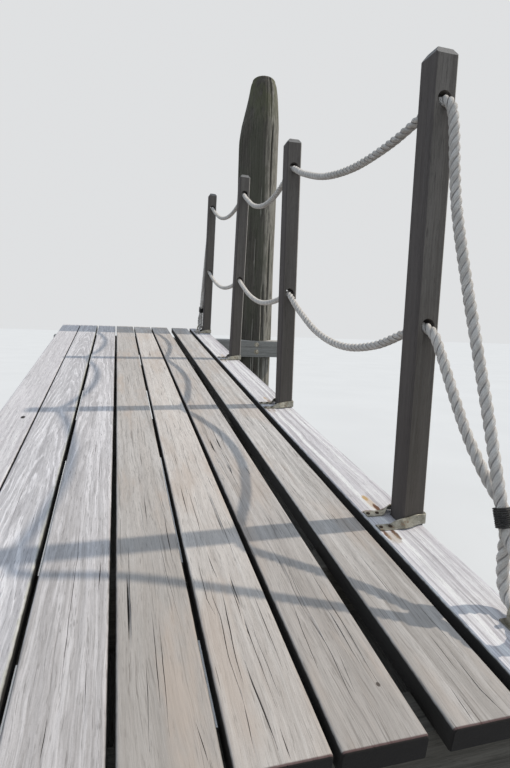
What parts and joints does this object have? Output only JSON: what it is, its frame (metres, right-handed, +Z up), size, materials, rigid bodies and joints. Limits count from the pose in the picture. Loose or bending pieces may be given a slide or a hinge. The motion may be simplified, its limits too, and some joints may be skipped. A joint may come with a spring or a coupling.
{
  "type": "wooden jetty with rope handrail",
  "caption": "Sloping timber jetty of lengthwise deck boards on bearers and round legs, with square posts and slack rope rails on one side and a tall mooring pile at its far end.",
  "frame": {"origin": "centre of the bounding box at the lowest ground, under the feet of the legs and the mooring pile", "axes": "+Y along the deck boards, from the near low end to the far high end; +X across the deck towards the handrail; +Z up"},
  "size_m": [2, 4.1694, 3.55],
  "materials": {
    "deck": "weathered silver grey",
    "post": "weathered dark grey-brown",
    "steel": "galvanised, rust streaked",
    "substructure": "weathered, shaded",
    "pile": "weathered and cracked",
    "seizing": "tarred black band",
    "rope": "three-strand rope, worn"
  },
  "bodies": {
    "root": {"deck_board_1": "deck", "deck_board_2": "deck", "deck_board_3": "deck", "deck_board_4": "deck", "deck_board_5": "deck", "deck_board_6": "deck", "deck_board_7": "deck", "deck_board_8": "deck", "rail_post_1": "post", "rail_post_2": "post", "rail_post_3": "post", "rail_post_4": "post", "cross_timber": "post", "post_strap_1": "steel", "post_strap_2": "steel", "post_strap_3": "steel", "post_strap_4": "steel", "near_rope_eye": "steel", "far_rope_eye": "steel", "end_bearer": "substructure", "bearer_1": "substructure", "bearer_2": "substructure", "bearer_3": "substructure", "left_stringer": "substructure", "right_stringer": "substructure", "near_left_leg": "substructure", "near_right_leg": "substructure", "middle_left_leg": "substructure", "middle_right_leg": "substructure", "far_left_leg": "substructure", "far_right_leg": "substructure", "mooring_pile": "pile", "near_seizing": "seizing", "far_seizing": "seizing", "upper_rope": "rope", "lower_rope": "rope"}
  },
  "joints": []
}
